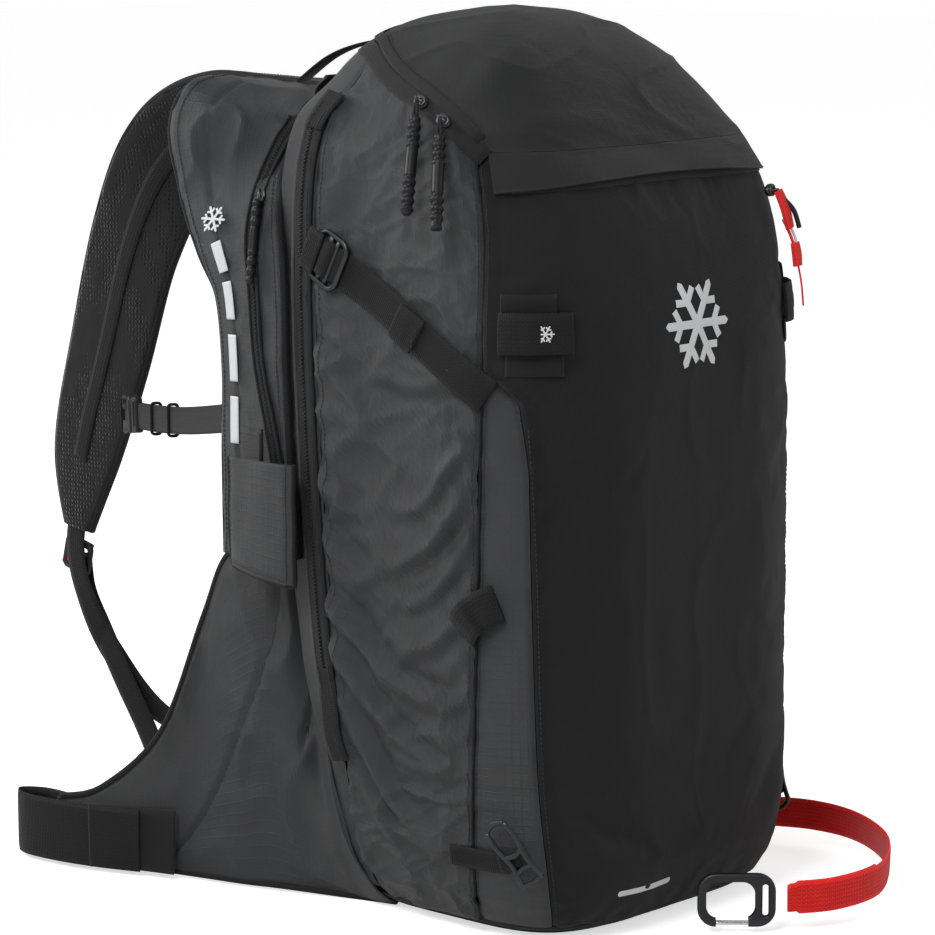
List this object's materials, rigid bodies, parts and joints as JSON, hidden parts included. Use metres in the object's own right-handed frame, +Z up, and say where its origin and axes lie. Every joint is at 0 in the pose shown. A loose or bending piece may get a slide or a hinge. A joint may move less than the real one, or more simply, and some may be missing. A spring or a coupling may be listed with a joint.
{
  "type": "avalanche airbag backpack",
  "caption": "Avalanche airbag backpack for skiing: domed lid, side airbag zip, fan-inflated airbag inside, padded harness, hip belt and red leg loop with carabiner.",
  "frame": {"origin": "centre of the flat base, on the ground plane", "axes": "+Z up, -Y out through the front panel, +Y to the wearer's back, -X to the wearer's left"},
  "size_m": [0.405, 0.7677, 0.615],
  "materials": {
    "airbag_fabric": "coated nylon",
    "buckle_metal": "dark anodised",
    "front_fabric": "dense matt black weave",
    "gate_wire": "polished wire",
    "moulded_plastic": "moulded, slightly textured",
    "padding": "foam under a matt knitted mesh",
    "red_plastic": "moulded",
    "red_webbing": "woven red webbing",
    "side_fabric": "coated ripstop weave with a slight sheen",
    "slider_metal": "worn dark plating",
    "stay_metal": "brushed",
    "webbing": "woven nylon webbing",
    "zip_tape": "coated zip tape and coils"
  },
  "bodies": {
    "pack_body": {"airbag_folded": "airbag_fabric", "back_panel": "front_fabric", "base_panel": "front_fabric", "burst_zip": "zip_tape", "collar_panel": "side_fabric", "control_unit": "moulded_plastic", "fan_housing": "moulded_plastic", "fan_motor": "slider_metal", "frame_sheet": "moulded_plastic", "front_panel": "front_fabric", "intake_grille": "moulded_plastic", "left_axe_keeper": "webbing", "left_back_pad": "padding", "left_compression_strap": "webbing", "left_side_panel": "side_fabric", "left_stay": "stay_metal", "lumbar_pad": "padding", "outlet_duct": "moulded_plastic", "right_axe_keeper": "webbing", "right_back_pad": "padding", "right_compression_strap": "webbing", "right_side_panel": "side_fabric", "right_stay": "stay_metal", "tool_pocket_divider": "front_fabric", "yoke_panel": "side_fabric"},
    "battery_pack": {"battery_pack": "moulded_plastic"},
    "carabiner": {"carabiner_body": "buckle_metal"},
    "carabiner_gate": {"carabiner_gate": "gate_wire"},
    "check_valve_flap": {"check_valve_flap": "webbing"},
    "fan_impeller": {"fan_impeller": "moulded_plastic"},
    "front_zip_slider": {"front_zip_slider": "slider_metal"},
    "front_zip_slider_pull": {"front_zip_slider_pull": "webbing"},
    "haul_loop": {"haul_loop": "webbing"},
    "hip_buckle_hook": {"hip_buckle_hook": "buckle_metal"},
    "left_axe_buckle": {"left_axe_buckle": "buckle_metal"},
    "left_compression_buckle": {"left_compression_buckle": "buckle_metal"},
    "left_hip_wing": {"left_hip_webbing": "webbing", "left_hip_wing": "side_fabric"},
    "left_shoulder_strap": {"left_ladder_lock": "moulded_plastic", "left_shoulder_strap": "side_fabric"},
    "leg_loop": {"leg_loop_webbing": "red_webbing"},
    "lid": {"lid_panel": "front_fabric"},
    "power_button": {"power_button": "red_plastic"},
    "rear_zip_slider": {"rear_zip_slider": "slider_metal"},
    "rear_zip_slider_pull": {"rear_zip_slider_pull": "webbing"},
    "right_axe_buckle": {"right_axe_buckle": "buckle_metal"},
    "right_compression_buckle": {"right_compression_buckle": "buckle_metal"},
    "right_hip_wing": {"right_hip_webbing": "webbing", "right_hip_wing": "side_fabric"},
    "right_shoulder_strap": {"right_ladder_lock": "moulded_plastic", "right_lower_webbing": "webbing", "right_shoulder_strap": "side_fabric"},
    "sternum_strap": {"sternum_buckle": "moulded_plastic", "sternum_webbing": "webbing"},
    "storm_flap": {"storm_flap": "front_fabric"},
    "tool_zip_pull": {"tool_zip_pull": "red_webbing"},
    "tool_zip_slider": {"tool_zip_slider": "slider_metal"},
    "trigger_cover": {"trigger_cover": "side_fabric"},
    "trigger_handle": {"trigger_handle": "red_plastic"},
    "trigger_zip_slider": {"trigger_zip_slider": "slider_metal"}
  },
  "joints": [
    {"name": "lid_hinge", "type": "hinge", "parent": "pack_body", "child": "lid", "pos_m": [0, -0.09368, 0.52588], "axis": [1, 0, 0], "range_deg": [0, 85]},
    {"name": "storm_flap_hinge", "type": "hinge", "parent": "pack_body", "child": "storm_flap", "pos_m": [0, -0.09173, 0.52461], "axis": [-1, 0, 0], "range_deg": [0, 30]},
    {"name": "fan_impeller_hinge", "type": "hinge", "parent": "pack_body", "child": "fan_impeller", "pos_m": [0, 0.0555, 0.285], "axis": [0, 1, 0], "continuous": true},
    {"name": "check_valve_flap_hinge", "type": "hinge", "parent": "pack_body", "child": "check_valve_flap", "pos_m": [0, 0.079, 0.3385], "axis": [-1, 0, 0], "range_deg": [0, 55]},
    {"name": "power_button_slide", "type": "slide", "parent": "pack_body", "child": "power_button", "axis": [0, 1, 0], "range_m": [0, 0.002], "stiffness_N_per_m": 300, "springref_m": -0.0005},
    {"name": "battery_pack_slide", "type": "slide", "parent": "pack_body", "child": "battery_pack", "axis": [0, -1, 0], "range_m": [0, 0.06]},
    {"name": "left_shoulder_strap_hinge", "type": "hinge", "parent": "pack_body", "child": "left_shoulder_strap", "pos_m": [-0.04, 0.148, 0.548], "axis": [1, 0, 0], "range_deg": [0, 30]},
    {"name": "trigger_handle_slide", "type": "slide", "parent": "left_shoulder_strap", "child": "trigger_handle", "axis": [0, 0, -1], "range_m": [0, 0.04]},
    {"name": "trigger_cover_hinge", "type": "hinge", "parent": "left_shoulder_strap", "child": "trigger_cover", "pos_m": [-0.1736, 0.108, 0.3115], "axis": [0, 1, 0], "range_deg": [0, 90]},
    {"name": "trigger_zip_slider_slide", "type": "slide", "parent": "left_shoulder_strap", "child": "trigger_zip_slider", "axis": [-0.2808, -0.4212, -0.8624], "range_m": [0, 0.01]},
    {"name": "right_shoulder_strap_hinge", "type": "hinge", "parent": "pack_body", "child": "right_shoulder_strap", "pos_m": [0.055, 0.148, 0.548], "axis": [1, 0, 0], "range_deg": [-4, 25]},
    {"name": "sternum_strap_hinge", "type": "hinge", "parent": "right_shoulder_strap", "child": "sternum_strap", "pos_m": [0.0205, 0.462, 0.289], "axis": [0, 0, 1], "range_deg": [-35, 0]},
    {"name": "left_hip_wing_hinge", "type": "hinge", "parent": "pack_body", "child": "left_hip_wing", "pos_m": [-0.133, 0.118, 0.1], "axis": [0, 0, -1], "range_deg": [-4, 35]},
    {"name": "right_hip_wing_hinge", "type": "hinge", "parent": "pack_body", "child": "right_hip_wing", "pos_m": [0.133, 0.118, 0.1], "axis": [0, 0, 1], "range_deg": [-12, 18]},
    {"name": "hip_buckle_hook_hinge", "type": "hinge", "parent": "right_hip_wing", "child": "hip_buckle_hook", "pos_m": [0.186, 0.3485, 0.025], "axis": [0, 0, 1], "range_deg": [-15, 15]},
    {"name": "leg_loop_hinge", "type": "hinge", "parent": "pack_body", "child": "leg_loop", "pos_m": [0.138, 0.108, 0.0225], "axis": [0, 0, 1], "range_deg": [0, 45]},
    {"name": "carabiner_hinge", "type": "hinge", "parent": "leg_loop", "child": "carabiner", "pos_m": [0.01382, -0.19852, 0.0215], "axis": [0, 0, 1], "range_deg": [-10, 25]},
    {"name": "carabiner_gate_hinge", "type": "hinge", "parent": "carabiner", "child": "carabiner_gate", "pos_m": [0.00127, -0.18426, 0.0065], "axis": [0.7507, 0.6606, 0], "range_deg": [0, 22], "stiffness_Nm_per_rad": 0.02, "springref_deg": -5.73},
    {"name": "haul_loop_hinge", "type": "hinge", "parent": "pack_body", "child": "haul_loop", "pos_m": [-0.012, 0.123, 0.5935], "axis": [0, 0.9555, -0.2951], "range_deg": [-25, 25]},
    {"name": "tool_zip_slider_slide", "type": "slide", "parent": "pack_body", "child": "tool_zip_slider", "axis": [-1, 0, 0], "range_m": [0, 0.17]},
    {"name": "tool_zip_pull_hinge", "type": "hinge", "parent": "tool_zip_slider", "child": "tool_zip_pull", "pos_m": [0.102, -0.1208, 0.4885], "axis": [-1, 0, 0], "range_deg": [0, 40]},
    {"name": "left_compression_buckle_hinge", "type": "hinge", "parent": "pack_body", "child": "left_compression_buckle", "pos_m": [-0.15549, 0.06743, 0.45565], "axis": [-0.043, 0.4343, -0.8997], "range_deg": [0, 20]},
    {"name": "right_compression_buckle_hinge", "type": "hinge", "parent": "pack_body", "child": "right_compression_buckle", "pos_m": [0.15549, 0.06743, 0.45565], "axis": [-0.043, -0.4343, 0.8997], "range_deg": [0, 20]},
    {"name": "left_axe_buckle_hinge", "type": "hinge", "parent": "pack_body", "child": "left_axe_buckle", "pos_m": [-0.12557, -0.09911, 0.05429], "axis": [0.2454, -0.7844, 0.5697], "range_deg": [0, 35]},
    {"name": "right_axe_buckle_hinge", "type": "hinge", "parent": "pack_body", "child": "right_axe_buckle", "pos_m": [0.12557, -0.09911, 0.05429], "axis": [0.2454, 0.7844, -0.5697], "range_deg": [0, 35]},
    {"name": "rear_zip_slider_slide", "type": "slide", "parent": "pack_body", "child": "rear_zip_slider", "axis": [0.2167, 0.9151, 0.3401], "range_m": [0, 0.02]},
    {"name": "rear_zip_slider_pull_hinge", "type": "hinge", "parent": "rear_zip_slider", "child": "rear_zip_slider_pull", "pos_m": [-0.12935, -0.00019, 0.55955], "axis": [-0.0281, 0.9996, 0], "range_deg": [0, 60]},
    {"name": "front_zip_slider_slide", "type": "slide", "parent": "pack_body", "child": "front_zip_slider", "axis": [0.1536, 0.8991, 0.4099], "range_m": [-0.012, 0]},
    {"name": "front_zip_slider_pull_hinge", "type": "hinge", "parent": "front_zip_slider", "child": "front_zip_slider_pull", "pos_m": [-0.13454, -0.02574, 0.5483], "axis": [-0.1315, 0.9913, 0], "range_deg": [0, 60]}
  ]
}
